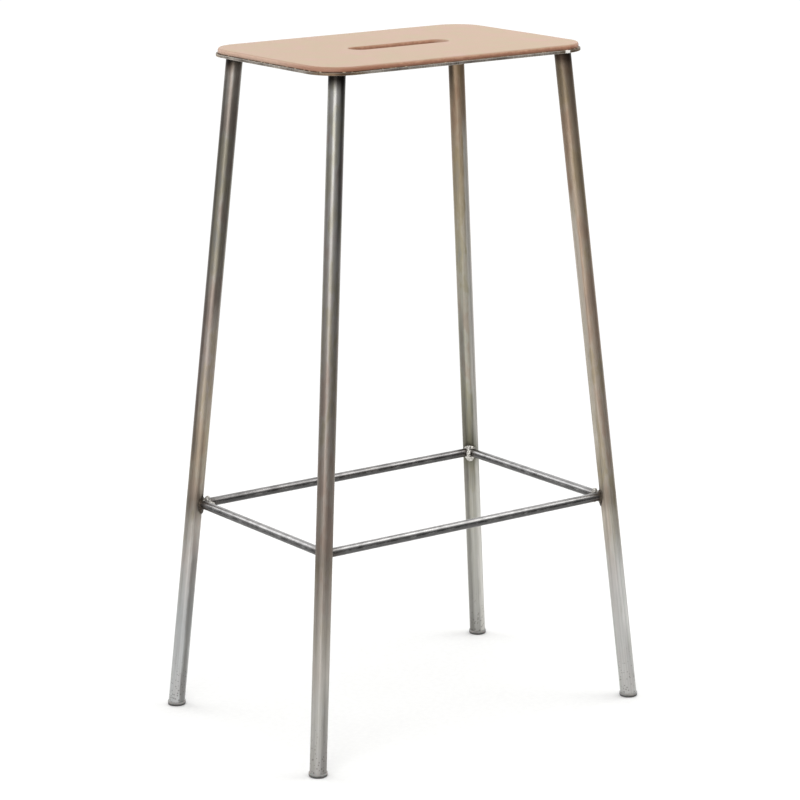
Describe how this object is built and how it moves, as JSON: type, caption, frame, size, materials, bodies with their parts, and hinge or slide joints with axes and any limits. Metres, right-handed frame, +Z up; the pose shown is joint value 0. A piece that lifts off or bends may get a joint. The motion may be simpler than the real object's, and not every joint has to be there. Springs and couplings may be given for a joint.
{
  "type": "bar stool",
  "caption": "Tall backless stool: leather-topped steel plate seat with a hand slot, splayed round tube legs and a low rectangular rod footrest.",
  "frame": {"origin": "on the floor, under the middle of the seat", "axes": "+Z up, +X along the seat's long side, -Y towards the front"},
  "size_m": [0.4568, 0.31, 0.76],
  "materials": {
    "natural_leather": "matt, undyed, with a burnished edge",
    "contact_adhesive": "matt",
    "raw_steel_plate": "raw, filed edge",
    "raw_steel_tube": "raw, oiled, with heat colours",
    "raw_steel_rod": "raw, drawn",
    "weld_metal": "brushed weld bead",
    "glide_nylon": "moulded"
  },
  "bodies": {
    "root": {"seat_leather": "natural_leather", "seat_adhesive": "contact_adhesive", "seat_plate": "raw_steel_plate", "leg_front_left": "raw_steel_tube", "leg_front_right": "raw_steel_tube", "leg_rear_left": "raw_steel_tube", "leg_rear_right": "raw_steel_tube", "footrest_front": "raw_steel_rod", "footrest_rear": "raw_steel_rod", "footrest_left": "raw_steel_rod", "footrest_right": "raw_steel_rod", "glide_front_left": "glide_nylon", "glide_front_right": "glide_nylon", "glide_rear_left": "glide_nylon", "glide_rear_right": "glide_nylon", "leg_weld_front_left": "weld_metal", "leg_weld_front_right": "weld_metal", "leg_weld_rear_left": "weld_metal", "leg_weld_rear_right": "weld_metal", "footrest_weld_front_left": "weld_metal", "footrest_weld_front_right": "weld_metal", "footrest_weld_rear_left": "weld_metal", "footrest_weld_rear_right": "weld_metal"}
  },
  "joints": []
}
